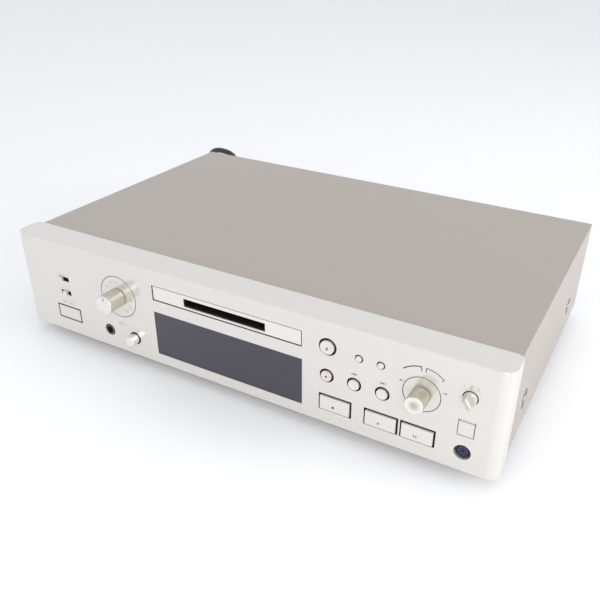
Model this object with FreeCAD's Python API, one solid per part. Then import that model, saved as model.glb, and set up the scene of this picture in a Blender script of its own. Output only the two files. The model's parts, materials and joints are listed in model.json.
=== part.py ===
import FreeCAD, Part
import math
import os

os.makedirs("parts", exist_ok=True)
V = FreeCAD.Vector

# ------------------------------------------------------------------ sizes, mm
# Everything is first drawn with x = 0 on the middle of the deck, y = 0 on the
# front face and z = 0 on the lower edge of the front moulding. The export then
# moves it so that the origin is under the middle of the deck, at foot level.
W = 435.0            # width over the front moulding
H = 87.2             # height of the front moulding
FD = 26.2            # depth of the front moulding
FOOT_H = 10.0        # from the surface to the moulding's lower edge
CW = 431.0           # width over the cover
CT = 1.0             # cover sheet
C_TOP = 85.0         # top of the cover
C_Y0 = 26.4          # front edge of the cover
C_Y1 = 280.0         # back of the cover's rear lip
R_Y1 = 279.0         # outer face of the rear panel
BASE_Z0, BASE_Z1 = 2.8, 4.0
PLATE = 3.0          # front plate of the moulding

LEVEL = (-105.5, 52.8)      # record level knob centre (x, z)
LEVEL_R, LEVEL_P = 8.0, 17.0
LEVEL_RING = 18.4
PHL = (-92.3, 17.0)         # headphone level knob
PHL_R, PHL_P = 4.6, 7.5
PHJ = (-120.4, 17.0)        # headphone jack
JOG = (159.7, 52.3)         # jog dial
JOG_R, JOG_P = 6.8, 14.5
JOG_RING = 13.4
SEL = (192.1, 61.4)         # input selector
SEL_R = 4.7
DIN = (191.9, 16.3)         # round multi-pin socket
OPT = (186.4, 198.2, 29.8, 43.4)      # optical input door opening x0 x1 z0 z1
OD_Y, OD_Z = 1.9, 42.1      # its hinge line
SW_X = -167.0               # slide switches
SW_Z = (53.3, 40.1)
PWR = (-166.9, 19.8, 27.2, 13.8)      # power button opening cx cz w h
SLOT = (37.2, 63.6, 69.9)             # half width, z0, z1
BEZ = (67.4, 60.9, 72.8)              # insert half width, z0, z1
BEZ_HOLE = (68.3, 60.1, 73.6)
WIN = (68.3, 9.8, 49.6)
ROUND = {                   # name: x, z, hole r, cap r, proud
    "eject_button": (89.0, 66.8, 7.0, 5.4, 1.6),
    "record_button": (88.8, 42.6, 5.65, 4.2, 1.4),
    "skip_back_button": (110.4, 42.5, 5.6, 4.15, 1.4),
    "skip_forward_button": (131.9, 42.5, 5.6, 4.15, 1.4),
    "display_button": (113.2, 65.0, 3.15, 2.3, 1.0),
    "play_mode_button": (129.6, 65.0, 3.15, 2.3, 1.0),
}
RECT = {                    # name: cx, cz, hole w, hole h
    "stop_button": (96.0, 18.8, 26.6, 14.6),
    "play_button": (132.1, 18.8, 26.3, 14.6),
    "pause_button": (159.6, 18.8, 26.0, 14.6),
}
RECT_GAP = 1.4
BTN_TRAVEL = 1.0
PWR_TRAVEL = 2.5
FEET = [(-172.0, 46.0), (172.0, 46.0), (-172.0, 248.0), (172.0, 248.0)]
FOOT_R = 17.0
SIDE_SCREWS = [(66.0, 26.5), (222.0, 26.5)]
REAR_SCREWS = [(-150.0, 80.2), (0.0, 80.2), (150.0, 80.2)]

# disc mechanism
CART = (72.0, 68.0, 5.0)
BAY = (36.5, 21.0, 92.0, 64.0, 69.8)   # half width, y0, y1, z0, z1 inside
HT = 0.8
DISC_Y = 56.0
LIFT = 4.0
SLIDE = 12.0
SLED_TRAVEL = 14.0

# mains lead
CORD_D = 6.4
FLOOR = -FOOT_H
Y_SHIFT = -(-LEVEL_P + 288.0) / 2.0


# ------------------------------------------------------------------ helpers
def box(x0, x1, y0, y1, z0, z1):
    return Part.makeBox(x1 - x0, y1 - y0, z1 - z0, V(x0, y0, z0))


def cy(x, z, r, y0, y1):
    return Part.makeCylinder(r, y1 - y0, V(x, y0, z), V(0, 1, 0))


def cx(y, z, r, x0, x1):
    return Part.makeCylinder(r, x1 - x0, V(x0, y, z), V(1, 0, 0))


def cz(x, y, r, z0, z1):
    return Part.makeCylinder(r, z1 - z0, V(x, y, z0), V(0, 0, 1))


def fuse(*s):
    s = list(s)
    out = s[0].multiFuse(s[1:]) if len(s) > 1 else s[0]
    return out.removeSplitter()


def cut(a, *s):
    for b in s:
        a = a.cut(b)
    return a


def tube_y(x, z, r0, r1, y0, y1):
    return cy(x, z, r1, y0, y1).cut(cy(x, z, r0, y0 - 1, y1 + 1))


def prism_xy(pts, z0, z1):
    w = Part.makePolygon([V(x, y, z0) for x, y in pts] + [V(pts[0][0], pts[0][1], z0)])
    return Part.Face(w).extrude(V(0, 0, z1 - z0))


def prism_yz(pts, x0, x1):
    w = Part.makePolygon([V(x0, y, z) for y, z in pts] + [V(x0, pts[0][0], pts[0][1])])
    return Part.Face(w).extrude(V(x1 - x0, 0, 0))


def prism_xz(pts, y0, y1):
    w = Part.makePolygon([V(x, y0, z) for x, z in pts] + [V(pts[0][0], y0, pts[0][1])])
    return Part.Face(w).extrude(V(0, y1 - y0, 0))


def round_plan(hw, y0, y1, rf, rb, z0, z1):
    """A block whose plan has rounded front and back corners."""
    e = []

    def arc(a, b, c):
        e.append(Part.Arc(V(*a, z0), V(*b, z0), V(*c, z0)).toShape())

    def line(a, b):
        e.append(Part.LineSegment(V(*a, z0), V(*b, z0)).toShape())

    k = math.sqrt(0.5)
    line((-hw + rf, y0), (hw - rf, y0))
    arc((hw - rf, y0), (hw - rf + rf * k, y0 + rf - rf * k), (hw, y0 + rf))
    line((hw, y0 + rf), (hw, y1 - rb))
    arc((hw, y1 - rb), (hw - rb + rb * k, y1 - rb + rb * k), (hw - rb, y1))
    line((hw - rb, y1), (-hw + rb, y1))
    arc((-hw + rb, y1), (-hw + rb - rb * k, y1 - rb + rb * k), (-hw, y1 - rb))
    line((-hw, y1 - rb), (-hw, y0 + rf))
    arc((-hw, y0 + rf), (-hw + rf - rf * k, y0 + rf - rf * k), (-hw + rf, y0))
    return Part.Face(Part.Wire(e)).extrude(V(0, 0, z1 - z0))


def edges_at(s, test):
    out = []
    for e in s.Edges:
        b = e.BoundBox
        if test(b):
            out.append(e)
    return out


def soft(s, r, test):
    """Rounds the edges that pass the test, and keeps the plain shape where that fails."""
    es = edges_at(s, test)
    if not es:
        return s
    try:
        t = s.makeFillet(r, es)
        if t.isValid() and t.Volume > 0:
            return t
    except Exception:
        pass
    return s


def bevel(s, r, test):
    es = edges_at(s, test)
    if not es:
        return s
    try:
        t = s.makeChamfer(r, es)
        if t.isValid() and t.Volume > 0:
            return t
    except Exception:
        pass
    return s


NODES = {}


def keep(name, *shapes):
    """Keeps a node: every solid of the shapes given, as one group."""
    solids = []
    for s in shapes:
        solids += s.Solids
    NODES[name] = solids


# ------------------------------------------------------------------ front moulding
f = round_plan(W / 2, 0, FD, 9.0, 6.0, 0, H)
f = soft(f, 0.9, lambda b: b.ZMax - b.ZMin < 0.01)
f = cut(f, round_plan(W / 2 - 3.6, PLATE, FD + 8, 6.0, 1.0, 2.6, H - 2.6))
f = cut(f, box(-WIN[0] - 0.2, WIN[0] + 0.2, -1, PLATE + 1, WIN[1] - 0.2, WIN[2] + 0.2))
f = cut(f, box(-BEZ_HOLE[0], BEZ_HOLE[0], -1, PLATE + 1, BEZ_HOLE[1], BEZ_HOLE[2]))
for x, z, rh, rc, p in ROUND.values():
    f = cut(f, cy(x, z, rh, -1, PLATE + 1))
for x, z, w, h in RECT.values():
    f = cut(f, box(x - w / 2, x + w / 2, -1, PLATE + 1, z - h / 2, z + h / 2))
f = cut(f, box(PWR[0] - PWR[2] / 2, PWR[0] + PWR[2] / 2, -1, PLATE + 1, PWR[1] - PWR[3] / 2, PWR[1] + PWR[3] / 2))
for z in SW_Z:
    f = cut(f, box(SW_X - 5.6, SW_X + 5.6, -1, PLATE + 1, z - 2.1, z + 2.1))
f = cut(f, cy(*LEVEL, 3.6, -1, PLATE + 1), tube_y(*LEVEL, LEVEL_RING - 0.3, LEVEL_RING + 0.3, -1, 0.4))
f = cut(f, cy(*JOG, 3.6, -1, PLATE + 1), tube_y(*JOG, JOG_RING - 0.3, JOG_RING + 0.3, -1, 0.4))
f = cut(f, cy(*PHL, 5.7, -1, PLATE + 1), cy(*PHJ, 5.3, -1, PLATE + 1))
f = cut(f, cy(*SEL, 5.45, -1, PLATE + 1), cy(*DIN, 6.0, -1, PLATE + 1))
f = cut(f, box(OPT[0], OPT[1], -1, PLATE + 1, OPT[2], OPT[3]), cx(OD_Y, OD_Z, 0.76, OPT[0] - 1.5, OPT[1] + 1.5))
BOSS = [(-200, 79), (200, 79), (-200, 7), (204, 7.5), (-75, 55), (75, 55)]
for x, z in BOSS:
    f = fuse(f, tube_y(x, z, 1.2, 3.0, PLATE - 0.2, 7.5))
    f = cut(f, cy(x, z, 1.2, PLATE + 0.6, 7.6))
keep("front_fascia", f)
STAND = [(-200, 45), (-140, 70), (-140, 32), (-77, 30), (-77, 73), (77, 30), (77, 73), (176, 76), (177, 36)]

# ------------------------------------------------------------------ slot insert
b = box(-BEZ[0], BEZ[0], 0.35, 2.6, BEZ[1], BEZ[2])
b = soft(b, 0.35, lambda q: q.YMax < 0.36)
b = fuse(b, box(-BEZ[0], BEZ[0], 2.0, 3.1, BEZ[1], BEZ[2]), box(-72, 72, PLATE, 4.4, 58.0, 75.6), box(-40.5, 40.5, 4.3, 7.5, 61.2, 72.4))
b = cut(b, box(-SLOT[0], SLOT[0], -1, 9, SLOT[1], SLOT[2]))
b = cut(b, prism_yz([(0.2, SLOT[1] - 1.1), (0.2, SLOT[1] + 0.5), (3.4, SLOT[1] + 0.5), (3.4, SLOT[1])], -SLOT[0], SLOT[0]))
keep("slot_bezel", b)

# ------------------------------------------------------------------ display
w = box(-WIN[0], WIN[0], 0.7, 3.2, WIN[1], WIN[2])
w = soft(w, 0.3, lambda q: q.YMax < 0.71)
w = fuse(w, box(-70.2, 70.2, PLATE, 4.0, 8.0, 51.4).cut(box(-66, 66, 2, 5, 11.5, 48)))
keep("display_window", w)
tube = box(-61, 61, 4.2, 10.4, 14, 45.5)
tube = soft(tube, 1.0, lambda q: q.XMax - q.XMin < 0.01 and q.ZMax - q.ZMin < 0.01)
pins = [box(-58 + 4 * i, -57.4 + 4 * i, 8.0, 13.0, 12.6, 14.0) for i in range(30)]
keep("display_tube", fuse(tube, *pins))

# ------------------------------------------------------------------ inner frame behind the moulding
s = box(-208, 208, 7.5, 9.0, 4.2, 82)
s = cut(s, box(-64, 64, 7, 10, 12, 48), box(-41, 41, 7, 10, 60.4, 74.2))
for x, z, rh, rc, p in ROUND.values():
    s = cut(s, cy(x, z, 1.6, 7, 10))
for x, z, w_, h_ in RECT.values():
    s = cut(s, cy(x, z, 1.6, 7, 10), cy(x - 8, z, 1.3, 7, 10), cy(x + 8, z, 1.3, 7, 10))
s = cut(s, cy(PWR[0], PWR[1], 2.1, 7, 10), cy(PWR[0] - 8, PWR[1], 1.3, 7, 10), cy(PWR[0] + 8, PWR[1], 1.3, 7, 10))
for z in SW_Z:
    s = cut(s, box(SW_X - 5.4, SW_X + 5.4, 7, 10, z - 1.3, z + 1.3))
for c, r in ((LEVEL, 5.0), (JOG, 5.0), (PHL, 5.0), (SEL, 5.0)):
    s = cut(s, cy(*c, r, 7, 10))
s = cut(s, box(PHJ[0] - 8.2, PHJ[0] + 8.2, 7, 10, PHJ[1] - 8.2, PHJ[1] + 8.2))
s = cut(s, box(DIN[0] - 7.7, DIN[0] + 7.7, 7, 10, DIN[1] - 7.7, DIN[1] + 7.7))
s = cut(s, box(OPT[0] - 1.9, OPT[1] + 1.9, 7, 10, OPT[2] - 1.9, OPT[3] + 1.9))
for x, z in BOSS:
    s = cut(s, cy(x, z, 1.6, 7, 10))
for x, z in STAND:
    s = fuse(s, cy(x, z, 2.6, 8.9, 13.0))
# ears that carry the slot flap
FL_Y, FL_Z = 10.4, 72.8
for sx in (-1, 1):
    x0, x1 = sorted((sx * 38.2, sx * 40.2))
    ear = box(x0, x1, 8.9, 12.0, 71.0, 74.6)
    web = box(min(sx * 38.2, sx * 44), max(sx * 38.2, sx * 44), 8.0, 9.0, 71.0, 74.6)
    s = fuse(s, ear, web)
    s = cut(s, cx(FL_Y, FL_Z, 0.86, -60 if sx < 0 else 37, -37 if sx < 0 else 60))
keep("sub_frame", s)

# slot flap: a thin door behind the slot, hanging on two stub pins
fl = box(-36.8, 36.8, 9.9, 10.7, 62.9, 72.8)
fl = fuse(fl, cx(FL_Y, FL_Z, 1.15, -37.9, 37.9), cx(FL_Y, FL_Z, 0.8, -40.1, 40.1))
fl = cut(fl, box(-37.9, -36.8, 9, 12, 60, 71.4))
keep("slot_flap", fl)

# ------------------------------------------------------------------ buttons
def dished(x, z, r, y, deep):
    """The shallow hollow in a cap's face."""
    rad = (r * r + deep * deep) / (2 * deep)
    return Part.makeSphere(rad, V(x, y - rad + deep, z))


for name, (x, z, rh, rc, p) in ROUND.items():
    cap = cy(x, z, rc, -p, 3.4)
    cap = soft(cap, 0.35, lambda q: q.YMax < -p + 0.01)
    if rc > 4:
        cap = cut(cap, dished(x, z, rc - 0.9, -p, 0.45))
    cap = fuse(cap, cy(x, z, rh + 0.7, 3.35, 4.5), cy(x, z, 1.5, 4.5, 10.4))
    keep(name, cap)
for name, (x, z, w_, h_) in RECT.items():
    cw, ch = w_ - 2 * RECT_GAP, h_ - 2 * RECT_GAP
    cap = box(x - cw / 2, x + cw / 2, -1.3, 3.4, z - ch / 2, z + ch / 2)
    cap = soft(cap, 0.5, lambda q: q.XMax - q.XMin < 0.01 and q.ZMax - q.ZMin < 0.01)
    cap = soft(cap, 0.35, lambda q: q.YMax < -1.29)
    side = 1.0
    x0, x1 = x - w_ / 2 - side + 0.3, x + w_ / 2 + side - 0.3
    if name == "play_button":
        x1 = x + w_ / 2 + 0.15
    if name == "pause_button":
        x0 = x - w_ / 2 - 0.15
    cap = fuse(cap, box(x0, x1, 3.35, 4.5, z - h_ / 2 - 0.9, z + h_ / 2 + 0.9))
    cap = fuse(cap, cy(x, z, 1.5, 4.5, 10.4), cy(x - 8, z, 1.2, 4.5, 10.4), cy(x + 8, z, 1.2, 4.5, 10.4))
    keep(name, cap)
x, z, w_, h_ = PWR
cap = box(x - w_ / 2 + 1.35, x + w_ / 2 - 1.35, -0.2, 3.4, z - h_ / 2 + 1.3, z + h_ / 2 - 1.3)
cap = soft(cap, 0.5, lambda q: q.XMax - q.XMin < 0.01 and q.ZMax - q.ZMin < 0.01)
cap = soft(cap, 0.3, lambda q: q.YMax < -0.19)
cap = fuse(cap, box(x - w_ / 2 - 1, x + w_ / 2 + 1, 3.35, 4.5, z - h_ / 2 - 1, z + h_ / 2 + 1))
cap = fuse(cap, cy(x, z, 2.0, 4.5, 14.4), cy(x - 8, z, 1.2, 4.5, 10.3), cy(x + 8, z, 1.2, 4.5, 10.3))
keep("power_button", cap)

# slide switch knobs, the upper one at its left stop and the lower one in the middle
for name, z, x in (("timer_switch_knob", SW_Z[0], SW_X - 3.2), ("mode_switch_knob", SW_Z[1], SW_X)):
    k = box(x - 2.1, x + 2.1, -2.3, 3.4, z - 1.8, z + 1.8)
    k = bevel(k, 0.4, lambda q: q.YMax < -2.29)
    k = fuse(k, box(x - 9.2, x + 9.2, 3.35, 4.4, z - 3.0, z + 3.0), box(x - 1.5, x + 1.5, 4.4, 10.9, z - 1.0, z + 1.0))
    keep(name, k)

# ------------------------------------------------------------------ knobs and their shafts
k = cy(*LEVEL, LEVEL_R, -LEVEL_P, -0.4)
k = soft(k, 0.6, lambda q: q.YMax < -LEVEL_P + 0.01)
k = cut(k, cy(*LEVEL, 3.0, -12.0, 0), box(LEVEL[0] - 0.35, LEVEL[0] + 0.35, -LEVEL_P - 1, -LEVEL_P + 0.35, LEVEL[1] + 3.6, LEVEL[1] + 7.3))
keep("level_knob", k)
keep("level_shaft", cy(*LEVEL, 3.0, -12.0, 24.0))

k = cy(*PHL, PHL_R, -PHL_P, 4.4)
k = bevel(k, 0.5, lambda q: q.YMax < -PHL_P + 0.01)
k = cut(k, box(PHL[0] - 0.3, PHL[0] + 0.3, -PHL_P - 1, -PHL_P + 0.3, PHL[1] + 1.4, PHL[1] + 4.4))
k = fuse(k, cy(*PHL, 2.0, 4.4, 21.0))
keep("phones_level_knob", k)

k = cy(*JOG, JOG_R, -JOG_P, -1.4)
k = bevel(k, 0.5, lambda q: q.YMax < -JOG_P + 0.01)
k = cut(k, cy(*JOG, 3.05, -11.5, 0))
keep("jog_knob", k)
keep("jog_shaft", cy(*JOG, 3.0, -10.0, 24.0))

# selector: a round foot with a finger bar that points up and to the left
A = math.radians(32)
k = cy(*SEL, SEL_R, -2.2, 4.4)
bar = Part.makeBox(3.6, 7.0, 9.0, V(-1.8, -8.6, -4.5))
bar = soft(bar, 0.5, lambda q: q.YMax < -8.59)
bar.rotate(V(0, 0, 0), V(0, 1, 0), -32)
bar.translate(V(SEL[0], 0, SEL[1]))
k = fuse(k, bar, cy(*SEL, 2.0, 4.4, 21.0))
keep("selector_knob", k)

# ------------------------------------------------------------------ controls behind the front
def pot(c, r_bore, half, depth):
    body = fuse(
        box(c[0] - half, c[0] + half, 14.6, 14.6 + depth, c[1] - half, c[1] + half),
        cy(*c, 4.6, 6.0, 14.6),
    )
    return cut(body, cy(*c, r_bore, 0, 14.6 + depth - 1.0))


keep("jog_encoder", pot(JOG, 3.05, 8.0, 12.0))
keep("rotary_controls", pot(LEVEL, 3.05, 10.0, 12.0), pot(PHL, 2.05, 7.0, 9.0), pot(SEL, 2.05, 7.5, 9.0))

sw = []
for x, z, rh, rc, p in ROUND.values():
    sw.append(fuse(box(x - 3, x + 3, 11.9, 13.0, z - 3, z + 3), cy(x, z, 1.6, 11.5, 12.0)))
for x, z, w_, h_ in RECT.values():
    sw.append(fuse(box(x - 3, x + 3, 11.9, 13.0, z - 3, z + 3), cy(x, z, 1.6, 11.5, 12.0)))
sw.append(cut(box(PWR[0] - 7, PWR[0] + 7, 14.6, 26.0, PWR[1] - 5, PWR[1] + 5), cy(PWR[0], PWR[1], 2.3, 14, 18.2)))
for z in SW_Z:
    sw.append(box(SW_X - 8, SW_X + 8, 11.2, 13.0, z - 3.5, z + 3.5))
keep("front_switches", *sw)

# front board
fb = box(-205, 205, 13.0, 14.6, 5.0, 80.0)
fb = cut(fb, box(-42, 42, 12, 16, 58, 81))
for c in (LEVEL, JOG, PHL, SEL):
    fb = cut(fb, cy(*c, 4.6, 12, 16))
fb = cut(fb, box(PHJ[0] - 8, PHJ[0] + 8, 12, 16, PHJ[1] - 8, PHJ[1] + 8))
fb = cut(fb, box(DIN[0] - 7.5, DIN[0] + 7.5, 12, 16, DIN[1] - 7.5, DIN[1] + 7.5))
fb = cut(fb, box(OPT[0] - 1.7, 210, 12, 16, OPT[2] - 1.7, OPT[3] + 1.7))
fb = cut(fb, cy(PWR[0], PWR[1], 2.4, 12, 16))
keep("front_board", fb)

# headphone jack: moulded body, metal bushing
pj = fuse(box(PHJ[0] - 7.6, PHJ[0] + 7.6, 8.0, 36.0, PHJ[1] - 7.6, PHJ[1] + 7.6), box(PHJ[0] - 10, PHJ[0] + 10, 14.6, 17.0, PHJ[1] - 7.6, PHJ[1] + 7.6))
pj = cut(pj, cy(*PHJ, 3.7, 0, 34.0))
keep("phones_jack_body", pj)
bu = fuse(cy(*PHJ, 4.15, 0.0, 8.0), tube_y(*PHJ, 4.0, 4.75, -0.5, 3.2))
bu = soft(bu, 0.25, lambda q: q.YMax < -0.49)
bu = cut(bu, cy(*PHJ, 3.25, -1, 9))
keep("phones_jack_bushing", bu)

# round socket
d = box(DIN[0] - 7.2, DIN[0] + 7.2, 4.6, 17.0, DIN[1] - 7.2, DIN[1] + 7.2)
d = fuse(d, box(DIN[0] - 9.2, DIN[0] + 9.2, 14.6, 17.0, DIN[1] - 7.2, DIN[1] + 7.2), cy(*DIN, 5.3, 1.6, 4.7))
d = cut(d, tube_y(*DIN, 3.9, 4.6, 1.0, 10.0))
for ang in (30, 90, 150, 210, 270, 330):
    a = math.radians(ang)
    rr = 2.4
    d = cut(d, cy(DIN[0] + rr * math.cos(a), DIN[1] + rr * math.sin(a), 0.45, 1, 9))
d = cut(d, box(DIN[0] - 1.1, DIN[0] + 1.1, 1.0, 9.0, DIN[1] - 0.5, DIN[1] + 0.7))
keep("keyboard_socket", d)

# optical input: socket shell and its spring door, which is hinged at the top
ox0, ox1, oz0, oz1 = OPT
o = box(ox0 - 1.5, ox1 + 1.5, 3.2, 24.0, oz0 - 1.5, oz1 + 1.5)
o = cut(o, box(ox0, ox1, 3.0, 15.5, oz0, oz1))
cxm, czm = (ox0 + ox1) / 2, (oz0 + oz1) / 2
o = fuse(o, cy(cxm, czm - 0.8, 1.9, 15.0, 18.0))
o = fuse(o, box(ox0 - 3.4, ox1 + 3.4, 14.6, 17.0, oz0 - 3.0, oz1 + 3.0).cut(box(ox0 - 1, ox1 + 1, 14, 18, oz0 - 1, oz1 + 1)))
keep("optical_in_socket", o)
dr = box(ox0 + 0.35, ox1 - 0.55, 0.1, 1.3, oz0 + 0.35, 41.2)
dr = soft(dr, 0.3, lambda q: q.YMax < 0.11)
dr = fuse(dr, box(ox0 + 0.8, ox1 - 1.0, 1.1, 2.6, 39.6, 41.4))
dr = fuse(dr, cx(OD_Y, OD_Z, 1.0, ox0 + 0.35, ox1 - 0.35), cx(OD_Y, OD_Z, 0.7, ox0 - 1.2, ox1 + 1.2))
keep("optical_door", dr)

# ------------------------------------------------------------------ chassis
c = box(-213.4, 213.4, 27.2, 277.6, BASE_Z0, BASE_Z1)
c = fuse(c, box(-207.0, 207.0, 10.0, 27.4, BASE_Z0, BASE_Z1))
for sx in (-1, 1):
    x0, x1 = sorted((sx * 212.4, sx * 213.4))
    c = fuse(c, box(x0, x1, 28.0, 277.6, BASE_Z0, 38.0))
c = fuse(c, box(-207.0, 207.0, 9.0, 10.2, BASE_Z0, 8.6))
for y0 in (128, 205):                       # pressed ribs
    c = fuse(c, box(-120, 120, y0, y0 + 8, BASE_Z1 - 0.1, BASE_Z1 + 1.2))
for i in range(12):                        # cooling slots under the boards
    c = cut(c, box(-190 + 7 * i, -187 + 7 * i, 150, 185, 0, 5))
for i in range(12):
    c = cut(c, box(40 + 7 * i, 43 + 7 * i, 150, 185, 0, 5))
POSTS = [(-200, 140), (-118, 140), (-200, 262), (-118, 262), (-92, 146), (60, 146), (200, 146), (-92, 254), (60, 254), (200, 254)]
for x, y in POSTS:
    c = fuse(c, cz(x, y, 3.2, BASE_Z1 - 0.1, 10.0))
    c = cut(c, cz(x, y, 1.25, 0, 11))
for x, y in FEET:
    c = cut(c, cz(x, y, 1.6, 0, 6))
for y, z in SIDE_SCREWS:
    c = cut(c, cx(y, z, 1.5, -220, 220))
keep("bottom_chassis", c)

# ------------------------------------------------------------------ cover
hw = CW / 2
cv = cut(
    box(-hw, hw, C_Y0, C_Y1, 1.0, C_TOP),
    box(-hw + CT, hw - CT, C_Y0 - 1, C_Y1 - CT, 0, C_TOP - CT),
    box(-hw + CT, hw - CT, C_Y1 - CT - 1, C_Y1 + 1, 0, 75.5),
)
cv = soft(cv, 0.8, lambda q: q.YMax - q.YMin > 200 and q.ZMin > C_TOP - 0.01 and abs(abs(q.XMin) - hw) < 0.01)
cv = soft(cv, 0.7, lambda q: q.XMax - q.XMin > 200 and q.ZMin > C_TOP - 0.01 and q.YMin > C_Y1 - 0.01)
for y, z in SIDE_SCREWS:
    for sx in (-1, 1):
        xo, xi = sx * (hw + 1), sx * (hw - 1.1)
        a, b_ = sorted((xo, xi))
        disc = cx(y, z, 9.0, min(sx * (hw - 2.1), sx * (hw - 0.9)), max(sx * (hw - 2.1), sx * (hw - 0.9)))
        cv = fuse(cv, disc)
        cv = cut(cv, cx(y, z, 8.0, a, b_), cx(y, z, 1.7, min(sx * 205, sx * 225), max(sx * 205, sx * 225)))
for x, z in REAR_SCREWS:
    cv = cut(cv, cy(x, z, 1.7, 270, 290))
keep("top_cover", cv)

# ------------------------------------------------------------------ rear panel
RCA_X = [-20.0, 0.0, 40.0, 60.0]
RCA_Z = 24.0
COAX = (100.0, 24.0)
OPTR = [(130.0, 24.0), (152.0, 24.0)]
CORD_X, CORD_Z = -204.0, 56.0
rp = box(-214.2, 214.2, R_Y1 - 1.2, R_Y1, 2.8, 83.8)
for x in RCA_X + [COAX[0]]:
    rp = cut(rp, cy(x, RCA_Z, 5.2, 270, 290))
for x, z in OPTR:
    rp = cut(rp, box(x - 5.1, x + 5.1, 270, 290, z - 5.1, z + 5.1))
rp = cut(rp, cy(CORD_X, CORD_Z, 5.6, 270, 290))
for x, z in REAR_SCREWS:
    rp = cut(rp, cy(x, z, 1.5, 270, 290))
for x in (-100.0, -200.0, 200.0):
    rp = cut(rp, cy(x, 7.2, 1.5, 270, 290))
for i in range(9):
    rp = cut(rp, box(-150 + 6 * i, -147 + 6 * i, 270, 290, 48, 68))
# inner flange that the chassis floor carries
rp = fuse(rp, box(-205, 205, R_Y1 - 12, R_Y1 - 1.1, 4.0, 5.0))
keep("rear_panel", rp)

# ------------------------------------------------------------------ rear sockets
rh_parts = []
for x0, x1 in ((-31.0, 11.0), (29.0, 71.0), (89.0, 111.0)):
    blk = box(x0, x1, 262.0, R_Y1 - 1.2, 11.6, 36.0)
    rh_parts.append(blk)
sleeves = []
for x in RCA_X + [COAX[0]]:
    ring = tube_y(x, RCA_Z, 3.2, 4.15, R_Y1 - 1.2, R_Y1 + 9.0)
    ring = fuse(ring, tube_y(x, RCA_Z, 3.2, 5.0, R_Y1 - 1.2, R_Y1 + 0.6))
    sleeves.append(ring)
    core = tube_y(x, RCA_Z, 1.6, 3.2, R_Y1 - 1.3, R_Y1 + 7.4)
    rh_parts = [r.fuse(core) if (r.BoundBox.XMin < x < r.BoundBox.XMax) else r for r in rh_parts]
keep("rca_sleeves", *sleeves)
dj = []
for x, z in OPTR:
    q = box(x - 4.9, x + 4.9, 260.0, R_Y1 + 2.0, 14.0, 34.0)
    q = fuse(box(x - 4.9, x + 4.9, R_Y1 - 1.3, R_Y1 + 2.0, z - 4.9, z + 4.9), box(x - 6.5, x + 6.5, 260, R_Y1 - 1.2, 11.6, 32.0))
    q = cut(q, box(x - 3.0, x + 3.0, R_Y1 - 8.0, R_Y1 + 3.0, z - 3.0, z + 3.0))
    dj.append(q)
keep("rear_sockets", *[r.removeSplitter() for r in rh_parts], *dj)

# ------------------------------------------------------------------ boards
m = box(-98, 206, 140, 270, 10.0, 11.6)
p_ = box(-206, -112, 134, 270, 10.0, 11.6)
for x, y in POSTS:
    m = cut(m, cz(x, y, 1.5, 9, 13))
    p_ = cut(p_, cz(x, y, 1.5, 9, 13))
chips = [(-60, 175, 24, 24, 2.6), (-10, 185, 30, 12, 3.4), (40, 200, 20, 20, 2.6), (95, 190, 28, 10, 3.4), (150, 200, 18, 18, 2.6), (140, 165, 30, 12, 3.4), (10, 225, 16, 10, 2.6)]
m = fuse(m, *[box(x - a / 2, x + a / 2, y - b_ / 2, y + b_ / 2, 11.5, 11.6 + h) for x, y, a, b_, h in chips])
caps_m = [(-80, 210, 4, 12), (-80, 225, 4, 12), (70, 170, 3.2, 11), (80, 230, 4, 14), (120, 225, 4, 14), (175, 175, 3.2, 11), (185, 225, 5, 16), (25, 160, 3.2, 9)]
m = fuse(m, *[cz(x, y, r, 11.5, 11.6 + h) for x, y, r, h in caps_m])
caps_p = [(-180, 160, 9, 32), (-155, 160, 9, 32), (-130, 165, 6.5, 22), (-135, 190, 5, 16), (-190, 195, 5, 16)]
p_ = fuse(p_, *[cz(x, y, r, 11.5, 11.6 + h) for x, y, r, h in caps_p])
sink = fuse(box(-176, -140, 214, 217, 11.5, 44), *[box(-176 + 6 * i, -174.5 + 6 * i, 216.9, 230, 11.5, 44) for i in range(7)])
p_ = fuse(p_, sink, box(-200, -182, 240, 252, 11.5, 30))
keep("circuit_boards", m, p_)

# ------------------------------------------------------------------ transformer
t = box(-199, -145, 72, 114, 6.0, 50.0)
t = cut(t, box(-185, -159, 71, 115, 14.0, 42.0))
coil = fuse(box(-184.8, -159.2, 66, 120, 14.2, 41.8))
coil = soft(coil, 3.0, lambda q: q.ZMax - q.ZMin > 20)
br = fuse(box(-207, -137, 80, 106, BASE_Z1, 5.2), box(-199, -145, 80, 106, 5.1, 6.0))
keep("power_transformer", fuse(t, br), coil)

# ------------------------------------------------------------------ mechanism bracket and dampers
mb = box(-54.2, 54.2, 20.5, 126.0, 38.0, 39.2)
mb = cut(mb, box(-38, 38, 34, 112, 37, 40))
for sx in (-1, 1):
    x0, x1 = sorted((sx * 53.0, sx * 54.2))
    mb = fuse(mb, box(x0, x1, 20.5, 126.0, BASE_Z1, 39.2))
    x0, x1 = sorted((sx * 53.0, sx * 64.0))
    mb = fuse(mb, box(x0, x1, 30.0, 55.0, BASE_Z1, 5.2), box(x0, x1, 95.0, 120.0, BASE_Z1, 5.2))
    mb = cut(mb, box(min(sx * 50, sx * 56), max(sx * 50, sx * 56), 45, 102, 12, 30))
keep("mech_bracket", mb)
DAMP = [(-46, 27), (46, 27), (-46, 117), (46, 117)]
keep("mech_dampers", *[fuse(cz(x, y, 4.8, 39.2, 41.2), cz(x, y, 3.6, 41.0, 42.4), cz(x, y, 4.8, 42.2, 44.0)) for x, y in DAMP])

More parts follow.
